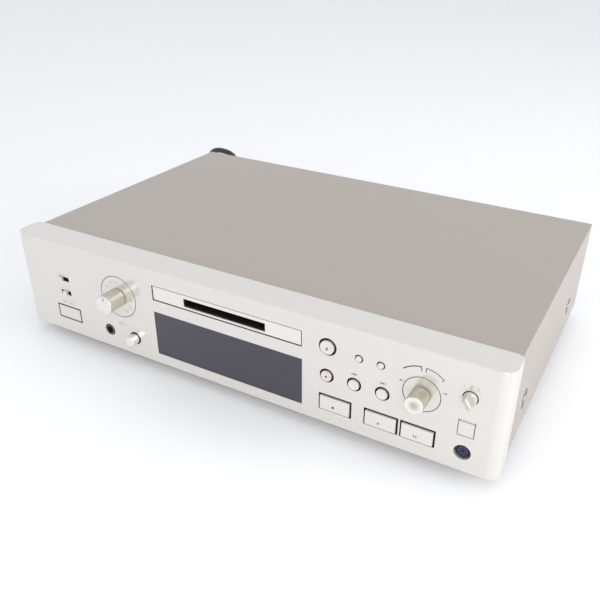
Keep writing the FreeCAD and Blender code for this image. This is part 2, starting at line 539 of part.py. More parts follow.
# mechanism frame
mf = box(-52.0, 52.0, 22.0, 122.0, 44.0, 45.2)
mf = cut(mf, box(16.5, 48, 36, 83, 43, 46))
PIN_Y = (40.0, 76.0)
PIN_Z = 66.5
for sx in (-1, 1):
    x0, x1 = sorted((sx * 50.8, sx * 52.0))
    wall = box(x0, x1, 26.0, 104.0, 44.0, 76.0)
    for y in PIN_Y:
        wall = cut(wall, box(x0 - 1, x1 + 1, y - 1.8, y + 1.8, PIN_Z - LIFT - 1.8, PIN_Z + 1.8))
    mf = fuse(mf, wall)
# posts for the guide rods and the lead screw
ROD_Y = (44.0, 68.0)
ROD_Z = 50.6
SCR_Y, SCR_Z = 76.0, 50.6
for y in ROD_Y:
    mf = fuse(mf, box(14.2, 15.6, y - 3, y + 3, 45.0, 53.4), box(48.6, 50.9, y - 3, y + 3, 45.0, 53.4))
mf = fuse(mf, box(48.6, 50.9, SCR_Y - 3, SCR_Y + 3, 45.0, 53.4))
for y in ROD_Y:
    mf = cut(mf, cx(y, ROD_Z, 1.5, 13, 50.2))
mf = cut(mf, cx(SCR_Y, SCR_Z, 1.25, 47, 50.2))
# ears for the head arm
ARM_Y, ARM_Z = 99.0, 74.0
for x0, x1 in ((11.4, 13.4), (34.6, 36.6)):
    e_ = box(x0, x1, 95.5, 102.5, 45.0, 77.0)
    mf = fuse(mf, e_)
mf = cut(mf, cx(ARM_Y, ARM_Z, 1.05, 11, 37))
# pins for the loading slider
for y in (34.0, 84.0):
    mf = fuse(mf, cx(y, 54.0, 1.5, -55.6, -51.9))
mf = cut(mf, cz(0, DISC_Y, 3.0, 43, 46))
keep("mech_frame", mf)

# motors: spindle, sled and loading
sp = fuse(cz(0, DISC_Y, 13.0, 45.2, 53.0), cz(0, DISC_Y, 2.9, 44.2, 45.3))
sp = cut(sp, cz(0, DISC_Y, 1.55, 46.5, 54))
sm = cut(fuse(cx(SCR_Y, SCR_Z, 5.3, -4.0, 12.0), cx(SCR_Y, SCR_Z, 2.4, 12.0, 13.4)), cx(SCR_Y, SCR_Z, 1.05, 8.0, 14.0))
sm = fuse(sm, box(-4.0, 12.0, SCR_Y - 3, SCR_Y + 3, 45.2, 47.0))
lm = fuse(cx(112.0, 52.0, 6.0, -44.0, -20.0), box(-42.0, -22.0, 108.0, 116.0, 45.2, 48.0))
keep("mech_motors", sp, sm, lm)
keep("guide_rods", *[cx(y, ROD_Z, 1.5, 14.2, 50.2) for y in ROD_Y])

# turntable
tt = fuse(cz(0, DISC_Y, 8.0, 57.4, 59.2), cz(0, DISC_Y, 4.6, 59.1, 60.4), cz(0, DISC_Y, 1.5, 47.0, 57.5))
tt = soft(tt, 0.5, lambda q: q.ZMin > 60.39)
keep("spindle_turntable", tt)

# pickup sled on the two rods, with a fork round the lead screw
sl = box(17.0, 33.0, 40.0, 72.0, 47.4, 54.6)
sl = fuse(sl, box(19.0, 31.0, 71.8, 78.8, 47.8, 53.4), box(20, 30, 50, 62, 54.5, 56.0), cz(25, DISC_Y, 2.6, 55.9, 57.0))
for y in ROD_Y:
    sl = cut(sl, cx(y, ROD_Z, 1.55, 16, 34))
sl = cut(sl, box(18.0, 32.0, SCR_Y - 1.9, SCR_Y + 1.9, 48.6, 60.0))
keep("pickup_sled", sl)
# the screw: a plain shaft with a helical groove is drawn as rings of its thread
ls = cx(SCR_Y, SCR_Z, 1.0, 8.2, 49.9)
for i in range(32):
    ls = fuse(ls, cx(SCR_Y, SCR_Z, 1.45, 14.2 + i * 1.05, 14.8 + i * 1.05))
keep("lead_screw", ls)

# cartridge holder: a flat sheet sleeve, open at the front and the back
bx, by0, by1, bz0, bz1 = BAY
h = cut(box(-bx - HT, bx + HT, by0, by1, bz0 - HT, bz1 + HT), box(-bx, bx, by0 - 1, by1 + 1, bz0, bz1))
h = cut(h, box(-17, 35.5, 36, 80, bz0 - 2, bz0 + 0.1))     # window in the floor
h = cut(h, box(4, 34, 40, 93, bz1 - 0.1, bz1 + 2))         # window in the roof
h = cut(h, prism_xy([(-36.5, 20), (36.5, 20), (30, 27), (-30, 27)], bz1 - 0.1, bz1 + 2))
for sx in (-1, 1):
    for y in PIN_Y:
        a, b_ = (bx + 0.7, 54.0) if sx > 0 else (-57.4, -bx - 0.7)
        h = fuse(h, cx(y, PIN_Z, 1.5, a, b_))
keep("cartridge_holder", h)

# loading slider: a cam plate on the left of the frame
ld = box(-57.0, -55.0, 18.5, 88.0, 50.0, 70.5)


def slot_yz(p0, p1, r, x0, x1):
    a, b_ = V(x0, *p0), V(x0, *p1)
    d_ = (b_ - a)
    n = V(0, -d_.z, d_.y).normalize() * r
    w_ = Part.makePolygon([a + n, b_ + n, b_ - n, a - n, a + n])
    return fuse(Part.Face(w_).extrude(V(x1 - x0, 0, 0)), cx(p0[0], p0[1], r, x0, x1), cx(p1[0], p1[1], r, x0, x1))


for y in PIN_Y:
    ld = cut(ld, slot_yz((y, PIN_Z), (y - SLIDE, PIN_Z - LIFT), 1.7, -58.0, -54.0))
ld = fuse(ld, box(-55.0, -54.0, 26.0, 86.0, 50.0, 52.2))
for y in (34.0, 84.0):
    ld = cut(ld, slot_yz((y - SLIDE - 0.6, 54.0), (y + 0.6, 54.0), 1.65, -58.0, -53.0))
keep("loading_slider", ld)

# head arm over the disc, hinged behind it
ar = cx(ARM_Y, ARM_Z, 2.4, 13.6, 34.4)
ar = fuse(ar, cx(ARM_Y, ARM_Z, 1.0, 11.6, 36.4), box(21.0, 27.0, 52.0, 99.0, 73.4, 74.6), box(22.0, 26.0, 52.0, 58.0, 72.4, 73.5))
keep("head_arm", ar)

# ------------------------------------------------------------------ flat cable from the boards to the front
pts = [(16.2, 30), (16.2, 7.2), (17.0, 6.4), (139, 6.4), (139.8, 7.2), (139.8, 14.5), (145, 14.5), (145, 14.9), (139.4, 14.9), (139.4, 7.4), (138.8, 6.8), (17.2, 6.8), (16.6, 7.4), (16.6, 30)]
keep("ribbon_cable", prism_yz(pts, -20, 20), box(-21, 21, 14.6, 18.6, 30.0, 34.0), box(-21, 21, 145.0, 149.0, 11.6, 16.0))

# ------------------------------------------------------------------ feet and fasteners
feet, pads = [], []
for x, y in FEET:
    ft = cz(x, y, FOOT_R, FLOOR + 1.6, BASE_Z0)
    ft = bevel(ft, 1.0, lambda q: q.ZMax < FLOOR + 1.61)
    ft = cut(ft, cz(x, y, 4.6, FLOOR, FLOOR + 4.6), cz(x, y, 1.7, FLOOR, 6))
    ft = cut(ft, cz(x, y, 13.6, FLOOR, FLOOR + 2.8).cut(cz(x, y, 6.4, FLOOR - 1, FLOOR + 4)))
    feet.append(ft)
    pads.append(cz(x, y, 13.5, FLOOR, FLOOR + 2.8).cut(cz(x, y, 6.5, FLOOR - 1, FLOOR + 4)))
keep("feet", *feet, *pads)


def screw(p, d_, head_r=3.6, head_h=1.9, r=1.45, length=10.0):
    """p is the centre of the seat, d_ the way the tip points."""
    p, d_ = V(*p), V(*d_)
    hd = Part.makeCylinder(head_r, head_h, p - d_ * head_h, d_)
    hd = hd.makeFillet(0.8, [e for e in hd.Edges if e.CenterOfMass.distanceToPoint(p - d_ * head_h) < 0.1 and e.Closed])
    sh = Part.makeCylinder(r, length + 0.1, p - d_ * 0.1, d_)
    sc = hd.fuse(sh).removeSplitter()
    up = V(0, 0, 1) if abs(d_.z) < 0.5 else V(1, 0, 0)
    side = up.cross(d_)
    for a, b_ in ((up, side), (side, up)):
        s0 = p - d_ * (head_h + 0.2)
        w_ = Part.makePolygon([s0 + a * 2.0 + b_ * 0.35, s0 - a * 2.0 + b_ * 0.35, s0 - a * 2.0 - b_ * 0.35, s0 + a * 2.0 - b_ * 0.35, s0 + a * 2.0 + b_ * 0.35])
        sc = sc.cut(Part.Face(w_).extrude(d_ * 1.3))
    return sc


sc = []
for y, z in SIDE_SCREWS:
    sc.append(screw((hw - 1.1, y, z), (-1, 0, 0)))
    sc.append(screw((-hw + 1.1, y, z), (1, 0, 0)))
for x, z in REAR_SCREWS:
    sc.append(screw((x, C_Y1, z), (0, -1, 0)))
for x in (-100.0, -200.0, 200.0):
    sc.append(screw((x, R_Y1, 7.2), (0, -1, 0)))
for x, y in FEET:
    sc.append(screw((x, y, FLOOR + 4.6), (0, 0, 1)))
keep("case_screws", *sc)
keep("board_screws", *[screw((x, y, 11.6), (0, 0, -1), head_r=2.9, head_h=1.6, r=1.2, length=7.0) for x, y in POSTS])

# ------------------------------------------------------------------ mains lead
RELIEF_Y = 293.0
sr = Part.makeCone(6.6, 4.3, RELIEF_Y - R_Y1, V(CORD_X, R_Y1, CORD_Z), V(0, 1, 0))
sr = fuse(sr, cy(CORD_X, CORD_Z, 5.5, R_Y1 - 1.4, R_Y1 + 0.1), cy(CORD_X, CORD_Z, 7.2, R_Y1 - 7.2, R_Y1 - 1.2))
for i in range(4):
    y0 = R_Y1 + 2.2 + i * 2.9
    sr = cut(sr, tube_y(CORD_X, CORD_Z, 3.9, 9.0, y0, y0 + 1.1))
keep("strain_relief", sr)

COIL_C = (-138.0, 341.8)
COIL_R = 36.0
COIL_HW = 2 * CORD_D
COIL_Z0 = FLOOR + 1.0
CR = CORD_D / 2
ROUTE = [
    (CORD_X, RELIEF_Y, CORD_Z),
    (-204.0, 305.3, CORD_Z),
    (-208.6, 320.1, 58.6),
    (-218.8, 331.3, 63.0),
    (-232.9, 337.2, 66.8),
    (-255.5, 340.5, 66.0),
    (-272.3, 349.5, 53.8),
    (-277.6, 359.1, 34.0),
    (-269.4, 367.2, 14.0),
    (-255.8, 376.8, 3.1),
    (-238.0, 383.5, -4.0),
    (-216.0, 386.4, FLOOR + CR),
    (-193.0, 387.4, FLOOR + CR),
    (-170.0, 387.4, FLOOR + CR + 0.4),
    (-147.0, 387.4, COIL_Z0 + CR),
]
# far end, from the coil to the plug
TAIL = [
    (-134.0, 387.4, COIL_Z0 + 3 * CR),
    (-113.0, 387.0, -0.8),
    (-93.0, 383.6, -3.5),
    (-73.0, 378.0, -3.5),
    (-55.0, 371.0, -3.5),
]


def tube_path(pts):
    """Straight runs joined by tangent arcs."""
    P = [V(*p) for p in pts]
    edges, start, total = [], P[0], 0.0
    for i in range(1, len(P) - 1):
        a, b_ = P[i] - P[i - 1], P[i + 1] - P[i]
        la, lb = a.Length, b_.Length
        th = a.getAngle(b_)
        t_ = 0.45 * min(la, lb)
        r = t_ / math.tan(th / 2)
        print("  bend %2d: turn %5.1f deg, radius %6.1f mm, run before %5.1f" % (i, math.degrees(th), r, la))
        a.normalize()
        b_.normalize()
        p0, p1 = P[i] - a * t_, P[i] + b_ * t_
        mid = P[i] + (b_ - a).normalize() * (r / math.cos(th / 2) - r)
        e1 = Part.LineSegment(start, p0).toShape()
        e2 = Part.Arc(p0, mid, p1).toShape()
        edges += [e1, e2]
        total += e1.Length + e2.Length
        start = p1
    e1 = Part.LineSegment(start, P[-1]).toShape()
    edges.append(e1)
    total += e1.Length
    return Part.Wire(edges), total


def tube_of(pts, label):
    print(label)
    wire, total = tube_path(pts)
    d0 = (V(*pts[1]) - V(*pts[0])).normalize()
    prof = Part.Wire([Part.Circle(V(*pts[0]), d0, CR).toShape()])
    s_ = wire.makePipeShell([prof], True, False)
    want = math.pi * CR * CR * total
    print("  length %.1f mm, volume %.1f of %.1f, valid %s" % (total, s_.Volume, want, s_.isValid()))
    return s_


keep("mains_cord", tube_of(ROUTE, "lead, from the deck to the coil"), tube_of(TAIL, "lead, from the coil to the plug"))

# the coil: the outer shape of two flat spirals of three turns, one on the other
co = Part.makeCylinder(COIL_R + COIL_HW, 2 * CORD_D, V(COIL_C[0], COIL_C[1], COIL_Z0), V(0, 0, 1))
co = co.cut(Part.makeCylinder(COIL_R - COIL_HW, 4 * CORD_D, V(COIL_C[0], COIL_C[1], COIL_Z0 - 2), V(0, 0, 1)))
co = co.makeFillet(2.6, [e for e in co.Edges if e.Closed and e.BoundBox.ZMax - e.BoundBox.ZMin < 0.01])
keep("cord_coil", co)

# a wrap tie round the turns
tr0, tr1 = COIL_R - COIL_HW, COIL_R + COIL_HW
tie = cut(
    box(COIL_C[0] - tr1 - 0.8, COIL_C[0] - tr0 + 0.8, COIL_C[1] - 3, COIL_C[1] + 3, COIL_Z0 - 0.8, COIL_Z0 + 2 * CORD_D + 0.8),
    box(COIL_C[0] - tr1, COIL_C[0] - tr0, COIL_C[1] - 5, COIL_C[1] + 5, COIL_Z0, COIL_Z0 + 2 * CORD_D),
)
keep("cord_tie", tie)

# two-pin mains plug lying flat
PL = TAIL[-1]
px, py, pz = PL
d_ = (V(*TAIL[-1]) - V(*TAIL[-2])).normalize()
ang = math.degrees(math.atan2(d_.y, d_.x))
body = Part.makeCone(4.6, 6.3, 14.0, V(0, 0, 0), V(1, 0, 0))
hexa = prism_xy([(12, -6.3), (20, -13.0), (40, -17.0), (44, -17.0), (44, 17.0), (40, 17.0), (20, 13.0), (12, 6.3)], -6.4, 6.4)
hexa = soft(hexa, 2.0, lambda q: q.ZMax - q.ZMin > 5)
body = fuse(body, hexa)
pin1 = Part.makeCylinder(2.0, 19.5, V(43.5, -9.3, 0), V(1, 0, 0))
pin2 = Part.makeCylinder(2.0, 19.5, V(43.5, 9.3, 0), V(1, 0, 0))
pin1 = soft(pin1, 0.8, lambda q: q.XMin > 62.9)
pin2 = soft(pin2, 0.8, lambda q: q.XMin > 62.9)
plug = fuse(body, pin1, pin2)
plug.rotate(V(0, 0, 0), V(0, 0, 1), ang)
plug.translate(V(px, py, FLOOR + 6.5))
keep("mains_plug", plug)

# ------------------------------------------------------------------ export
for name, solids in sorted(NODES.items()):
    out = []
    for s_ in solids:
        s_ = s_.copy()
        s_.translate(V(0, Y_SHIFT, FOOT_H))
        out.append(s_)
    shape = out[0] if len(out) == 1 else Part.makeCompound(out)
    bb = shape.BoundBox
    bad = [i for i, q in enumerate(out) if not q.isValid() or q.Volume <= 0]
    print("%-22s %2d solids  x %7.1f %7.1f  y %7.1f %7.1f  z %6.1f %6.1f%s" % (name, len(out), bb.XMin, bb.XMax, bb.YMin, bb.YMax, bb.ZMin, bb.ZMax, "  BAD %s" % bad if bad else ""))
    shape.exportStep("parts/%s.step" % name)
print(len(NODES), "nodes")
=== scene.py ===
import json
import math

import bmesh
import bpy
from mathutils import Matrix, Vector


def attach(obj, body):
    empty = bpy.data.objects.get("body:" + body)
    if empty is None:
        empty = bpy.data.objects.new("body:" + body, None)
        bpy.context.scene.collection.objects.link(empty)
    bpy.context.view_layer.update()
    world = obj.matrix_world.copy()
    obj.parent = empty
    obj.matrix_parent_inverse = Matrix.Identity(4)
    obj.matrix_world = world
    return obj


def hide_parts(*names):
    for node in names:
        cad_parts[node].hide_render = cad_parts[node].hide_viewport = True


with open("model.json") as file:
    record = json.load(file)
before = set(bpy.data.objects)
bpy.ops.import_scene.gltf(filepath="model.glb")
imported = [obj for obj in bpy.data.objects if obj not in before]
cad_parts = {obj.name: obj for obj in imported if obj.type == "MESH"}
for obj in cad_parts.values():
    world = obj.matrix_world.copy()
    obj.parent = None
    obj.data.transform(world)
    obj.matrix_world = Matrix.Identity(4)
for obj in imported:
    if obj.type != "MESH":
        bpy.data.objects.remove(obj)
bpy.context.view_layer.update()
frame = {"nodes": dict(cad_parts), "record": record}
N = frame["nodes"]
scene = bpy.context.scene


# ---------------------------------------------------------------- helpers
# Sizes below are in millimetres with x = 0 on the middle of the deck, y = 0 on
# the front face and z = 0 on the front moulding's lower edge, as in part.py.
def P(x, y, z):
    return Vector((x / 1000.0, (y - 135.5) / 1000.0, (z + 10.0) / 1000.0))


def new_object(name, verts, faces, body, smooth=35.0):
    me = bpy.data.meshes.new(name)
    me.from_pydata([tuple(v) for v in verts], [], faces)
    bm = bmesh.new()
    bm.from_mesh(me)
    bmesh.ops.remove_doubles(bm, verts=bm.verts, dist=1e-7)
    bmesh.ops.recalc_face_normals(bm, faces=bm.faces)
    bm.to_mesh(me)
    bm.free()
    for p in me.polygons:
        p.use_smooth = True
    me.set_sharp_from_angle(angle=math.radians(smooth))
    ob = bpy.data.objects.new(name, me)
    scene.collection.objects.link(ob)
    if body:
        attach(ob, body)
    return ob


# ---------------------------------------------------------------- camera
AZ, EL, RO = math.radians(28.157), math.radians(29.175), math.radians(0.974)
fwd = Vector((-math.sin(AZ) * math.cos(EL), math.cos(AZ) * math.cos(EL), -math.sin(EL)))
right = Vector((math.cos(AZ), math.sin(AZ), 0.0))
up = right.cross(fwd)
r2 = math.cos(RO) * right + math.sin(RO) * up
u2 = -math.sin(RO) * right + math.cos(RO) * up
cam_data = bpy.data.cameras.new("camera")
cam = bpy.data.objects.new("camera", cam_data)
scene.collection.objects.link(cam)
m = Matrix((
    (r2.x, u2.x, -fwd.x, 0.27214),
    (r2.y, u2.y, -fwd.y, -0.49044),
    (r2.z, u2.z, -fwd.z, 0.33575),
    (0, 0, 0, 1),
))
cam.matrix_world = m
cam_data.sensor_width = 36.0
cam_data.lens = 41.05
cam_data.shift_x = -0.0329
cam_data.shift_y = 0.0026
cam_data.clip_start = 0.01
cam_data.clip_end = 50.0
scene.camera = cam

# ---------------------------------------------------------------- mains lead
CORD_D = 6.4
ROUTE = [
    (-204.0, 293.0, 56.0),
    (-204.0, 305.3, 56.0),
    (-208.6, 320.1, 58.6),
    (-218.8, 331.3, 63.0),
    (-232.9, 337.2, 66.8),
    (-255.5, 340.5, 66.0),
    (-272.3, 349.5, 53.8),
    (-277.6, 359.1, 34.0),
    (-269.4, 367.2, 14.0),
    (-255.8, 376.8, 3.1),
    (-238.0, 383.5, -4.0),
    (-216.0, 386.4, -6.8),
    (-193.0, 387.4, -6.8),
    (-170.0, 387.4, -6.4),
    (-147.0, 387.4, -5.8),
]
TAIL = [
    (-134.0, 387.4, 0.6),
    (-113.0, 387.0, -0.8),
    (-93.0, 383.6, -3.5),
    (-73.0, 378.0, -3.5),
    (-55.0, 371.0, -3.5),
]
COIL = (-138.0, 341.8)


def coil_points():
    """Six turns, three lying on three, wound inwards below and outwards above."""
    out = []
    theta = 15.0
    while theta < 2160.0:
        t = theta if theta <= 1080.0 else 2160.0 - theta
        r = 45.6 - 6.4 * min(t, 1020.0) / 360.0
        s = min(1.0, max(0.0, (theta - 1020.0) / 120.0))
        z = -5.8 + 6.4 * s * s * (3 - 2 * s)
        a = math.radians(90.0 - theta)
        out.append((COIL[0] + r / 0.966 * math.cos(a), COIL[1] + r / 0.966 * math.sin(a), z))
        theta += 30.0
    return out


cu = bpy.data.curves.new("lead_cord", "CURVE")
cu.dimensions = "3D"
sp = cu.splines.new("NURBS")
pts = ROUTE + coil_points() + TAIL
sp.points.add(len(pts) - 1)
for q, p in zip(sp.points, pts):
    v = P(*p)
    q.co = (v.x, v.y, v.z, 1.0)
    q.radius = CORD_D / 2000.0
sp.order_u = 3
sp.use_endpoint_u = True
sp.resolution_u = 8
cu.bevel_depth = 1.0
cu.bevel_resolution = 6
cu.use_fill_caps = True
lead = bpy.data.objects.new("lead_cord", cu)
scene.collection.objects.link(lead)
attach(lead, "deck")
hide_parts("mains_cord", "cord_coil")

# ---------------------------------------------------------------- floor and light
flo = bpy.data.meshes.new("floor")
flo.from_pydata([(-6, -6, 0), (6, -6, 0), (6, 6, 0), (-6, 6, 0)], [], [(0, 1, 2, 3)])
floor = bpy.data.objects.new("floor", flo)
scene.collection.objects.link(floor)

scene.view_settings.view_transform = "Standard"
world = bpy.data.worlds.new("world")
scene.world = world
world.use_nodes = True
bg = world.node_tree.nodes["Background"]
bg.inputs[0].default_value = (0.95, 0.965, 1.0, 1.0)
bg.inputs[1].default_value = 0.88


def area(name, loc, target, size, power, size_y=None, color=(1, 1, 1)):
    li = bpy.data.lights.new(name, "AREA")
    li.shape = "RECTANGLE"
    li.size = size
    li.size_y = size_y or size
    li.energy = power
    li.color = color
    ob = bpy.data.objects.new(name, li)
    scene.collection.objects.link(ob)
    ob.location = loc
    d = Vector(target) - Vector(loc)
    ob.rotation_mode = "QUATERNION"
    ob.rotation_quaternion = d.to_track_quat("-Z", "Y")
    return ob


area("light_front", (0.9, -1.5, 1.0), (0.05, -0.1, 0.03), 1.1, 12.0, color=(1.0, 0.985, 0.965))
area("light_side", (1.9, 0.15, 0.55), (0.2, 0.05, 0.04), 1.0, 14.0, color=(1.0, 0.995, 1.0))
area("light_top", (0.3, 0.35, 1.9), (0, 0, 0.0), 1.5, 3.0, color=(1.0, 0.985, 0.96))


# ---------------------------------------------------------------- materials
def material(name, base, metallic=0.0, rough=0.4, var=0.04, scale=60.0, grain=900.0,
             bump=0.0, rough_var=0.06, coat=0.0, coat_rough=0.1, tint=None, stretch=(1, 1, 1),
             spec=0.5, bump_scale=None, bump_mm=0.05, painted_shade_depth=None, dark=(0.012, 0.011, 0.011),
             shell=None, painted_shade_metal=0.0):
    """Principled material: a soft large drift and a fine grain in the colour,
    the same grain in the roughness and, if asked, in a shallow bump. The last
    four arguments paint shade: behind the given depth, in mm from the front
    plane, the colour turns to the given dark colour and, on metallic materials,
    the metallic to the last argument. This painted shade stands for the shadow
    in hole walls, gaps and the sides of button caps, and on the knobs for a
    darker side that is painted shade and reflection. shell limits the painted
    shade to |x| below shell[0] and to heights between shell[1] and shell[2],
    in mm, so the outside of the front moulding keeps its finish."""
    mt = bpy.data.materials.new(name)
    mt.use_nodes = True
    nt = mt.node_tree
    b = nt.nodes["Principled BSDF"]

    def node(kind, **values):
        n = nt.nodes.new(kind)
        for k, v in values.items():
            setattr(n, k, v)
        return n

    def math_node(op, a, bb):
        n = node("ShaderNodeMath", operation=op)
        for i, v in enumerate((a, bb)):
            if isinstance(v, (int, float)):
                n.inputs[i].default_value = v
            else:
                nt.links.new(v, n.inputs[i])
        return n.outputs[0]

    tc = node("ShaderNodeTexCoord")
    mp = node("ShaderNodeMapping")
    mp.inputs["Scale"].default_value = stretch
    nt.links.new(tc.outputs["Object"], mp.inputs["Vector"])
    n1 = node("ShaderNodeTexNoise")
    n1.inputs["Scale"].default_value = scale
    n1.inputs["Detail"].default_value = 3.0
    nt.links.new(mp.outputs["Vector"], n1.inputs["Vector"])
    n2 = node("ShaderNodeTexNoise")
    n2.inputs["Scale"].default_value = grain
    n2.inputs["Detail"].default_value = 2.0
    nt.links.new(mp.outputs["Vector"], n2.inputs["Vector"])
    mix = node("ShaderNodeMix", data_type="RGBA")
    mix.inputs["A"].default_value = (*[c * (1 - var) for c in base], 1)
    mix.inputs["B"].default_value = (*[min(1.0, c * (1 + var)) for c in (tint or base)], 1)
    f = math_node("ADD", math_node("MULTIPLY", n1.outputs["Fac"], 0.6), math_node("MULTIPLY", n2.outputs["Fac"], 0.4))
    nt.links.new(f, mix.inputs["Factor"])
    colour = mix.outputs["Result"]
    # painted shade: behind the given depth the colour turns dark, standing for shade in recesses, gaps and on the knob
    # sides
    if painted_shade_depth is not None:
        sx = node("ShaderNodeSeparateXYZ")
        nt.links.new(tc.outputs["Object"], sx.inputs[0])
        deep = node("ShaderNodeMapRange")
        deep.inputs["From Min"].default_value = (painted_shade_depth - 0.08 - 135.5) / 1000.0
        deep.inputs["From Max"].default_value = (painted_shade_depth + 0.08 - 135.5) / 1000.0
        nt.links.new(sx.outputs[1], deep.inputs["Value"])
        painted_shade_mask = deep.outputs["Result"]
        if shell:
            painted_shade_mask = math_node("MULTIPLY", painted_shade_mask, math_node("LESS_THAN", math_node("ABSOLUTE", sx.outputs[0], 0.0), shell[0] / 1000.0))
            painted_shade_mask = math_node("MULTIPLY", painted_shade_mask, math_node("GREATER_THAN", sx.outputs[2], (shell[1] + 10) / 1000.0))
            painted_shade_mask = math_node("MULTIPLY", painted_shade_mask, math_node("LESS_THAN", sx.outputs[2], (shell[2] + 10) / 1000.0))
        m2 = node("ShaderNodeMix", data_type="RGBA")
        nt.links.new(painted_shade_mask, m2.inputs["Factor"])
        nt.links.new(colour, m2.inputs["A"])
        m2.inputs["B"].default_value = (*dark, 1)
        colour = m2.outputs["Result"]
        if metallic > 0:
            mm = node("ShaderNodeMapRange")
            mm.inputs["To Min"].default_value = metallic
            mm.inputs["To Max"].default_value = painted_shade_metal
            nt.links.new(painted_shade_mask, mm.inputs["Value"])
            nt.links.new(mm.outputs["Result"], b.inputs["Metallic"])
    nt.links.new(colour, b.inputs["Base Color"])
    mr = node("ShaderNodeMapRange")
    mr.inputs["From Min"].default_value = 0.3
    mr.inputs["From Max"].default_value = 0.7
    mr.inputs["To Min"].default_value = max(0.02, rough - rough_var)
    mr.inputs["To Max"].default_value = min(1.0, rough + rough_var)
    nt.links.new(n2.outputs["Fac"], mr.inputs["Value"])
    nt.links.new(mr.outputs["Result"], b.inputs["Roughness"])
    if not b.inputs["Metallic"].is_linked:
        b.inputs["Metallic"].default_value = metallic
    b.inputs["Specular IOR Level"].default_value = spec
    b.inputs["Coat Weight"].default_value = coat
    b.inputs["Coat Roughness"].default_value = coat_rough
    if bump > 0:
        bp = node("ShaderNodeBump")
        bp.inputs["Strength"].default_value = bump
        bp.inputs["Distance"].default_value = bump_mm / 1000.0
        h = n2.outputs["Fac"]
        if bump_scale:
            n3 = node("ShaderNodeTexNoise")
            n3.inputs["Scale"].default_value = bump_scale
            n3.inputs["Detail"].default_value = 2.0
            nt.links.new(mp.outputs["Vector"], n3.inputs["Vector"])
            h = n3.outputs["Fac"]
        nt.links.new(h, bp.inputs["Height"])
        nt.links.new(bp.outputs["Normal"], b.inputs["Normal"])
    return mt


PEARL = (0.725, 0.70, 0.66)
M = {
    # painted shade: hole walls and gaps more than 0.7 mm behind the front are painted near black, within |x| < 186 mm
    "fascia": material("fascia_pearl", PEARL, metallic=0.45, rough=0.16, var=0.008, bump=0.05, bump_mm=0.01, grain=6000,
                       rough_var=0.01, painted_shade_depth=0.7, shell=(186.0, 1.2, 86.2), dark=(0.03, 0.026, 0.024)),
    # painted shade: the slot walls more than 1.1 mm behind the front are painted near black
    "bezel": material("bezel_pearl", (0.78, 0.755, 0.715), metallic=0.4, rough=0.16, var=0.008, bump=0.05, bump_mm=0.01, grain=6000,
                      rough_var=0.01, painted_shade_depth=1.1, dark=(0.018, 0.014, 0.012)),
    "window": material("window_smoke", (0.022, 0.019, 0.036), rough=0.14, var=0.08, scale=22, grain=160, rough_var=0.03,
                       coat=0.6, coat_rough=0.06),
    "tube_glass": material("tube_glass", (0.04, 0.05, 0.05), rough=0.08, var=0.05, coat=1.0),
    "steel": material("steel_plate", (0.55, 0.55, 0.54), metallic=0.95, rough=0.38, var=0.05, stretch=(1, 6, 6), grain=700),
    "zinc_steel": material("zinc_steel", (0.60, 0.60, 0.57), metallic=0.9, rough=0.33, var=0.08, scale=35, grain=500),
    "iron": material("iron_core", (0.12, 0.11, 0.10), metallic=0.7, rough=0.5, var=0.1),
    "board": material("board", (0.07, 0.20, 0.09), rough=0.45, var=0.1, coat=0.3),
    "black_plastic": material("black_plastic", (0.018, 0.017, 0.018), rough=0.42, var=0.12, bump=0.3, grain=1500),
    "navy_plastic": material("navy_plastic", (0.030, 0.027, 0.085), rough=0.35, var=0.1, grain=1500),
    "white_plastic": material("white_plastic", (0.75, 0.74, 0.71), rough=0.4, var=0.03, grain=1500),
    "chrome": material("chrome", (0.88, 0.875, 0.86), metallic=1.0, rough=0.13, var=0.02, rough_var=0.03),
    "knob_metal": material("knob_metal", (0.80, 0.765, 0.71), metallic=0.75, rough=0.24, var=0.02, grain=2200, rough_var=0.04),
    "knob_grey": material("knob_grey", (0.42, 0.40, 0.37), metallic=0.4, rough=0.38, var=0.04, grain=2200),
    # painted shade: the cap sides more than 0.3 mm behind the front are painted near black, as shade in the gaps round
    # the caps
    "button_cream": material("button_cream", (0.74, 0.705, 0.68), metallic=0.3, rough=0.22, var=0.008, grain=6000, rough_var=0.01,
                             painted_shade_depth=0.3, dark=(0.03, 0.026, 0.026)),
    "button_grey": material("button_grey", (0.72, 0.69, 0.665), metallic=0.35, rough=0.22, var=0.008, grain=6000, rough_var=0.01,
                            painted_shade_depth=0.3, dark=(0.025, 0.022, 0.022)),
    "button_rose": material("button_rose", (0.74, 0.66, 0.63), metallic=0.3, rough=0.22, var=0.008, grain=6000, rough_var=0.01,
                            painted_shade_depth=0.3, dark=(0.025, 0.022, 0.022)),
    "rear_paint": material("rear_paint", (0.035, 0.035, 0.036), rough=0.5, var=0.1, bump=0.25, grain=1200),
    "cover_paint": material("cover_taupe", (0.42, 0.375, 0.335), metallic=0.30, rough=0.33, var=0.03, bump=0.35, bump_mm=0.02,
                            grain=2400, bump_scale=1100, rough_var=0.05),
    "brass": material("brass", (0.70, 0.52, 0.22), metallic=1.0, rough=0.25, var=0.05),
    "feet_plastic": material("feet_plastic", (0.03, 0.03, 0.032), rough=0.5, var=0.1, bump=0.2),
    "rubber": material("rubber", (0.025, 0.025, 0.025), rough=0.75, var=0.15, bump=0.3, grain=800),
    "screw_steel": material("screw_steel", (0.45, 0.44, 0.43), metallic=0.95, rough=0.3, var=0.05),
    "cord_black": material("cord_black", (0.02, 0.02, 0.021), rough=0.45, var=0.12, bump=0.25, grain=700),
}
INK = material("ink_dark", (0.055, 0.048, 0.045), rough=0.45, var=0.15, grain=4000)
INK_SOFT = material("ink_grey", (0.26, 0.235, 0.22), rough=0.45, var=0.12, grain=4000)
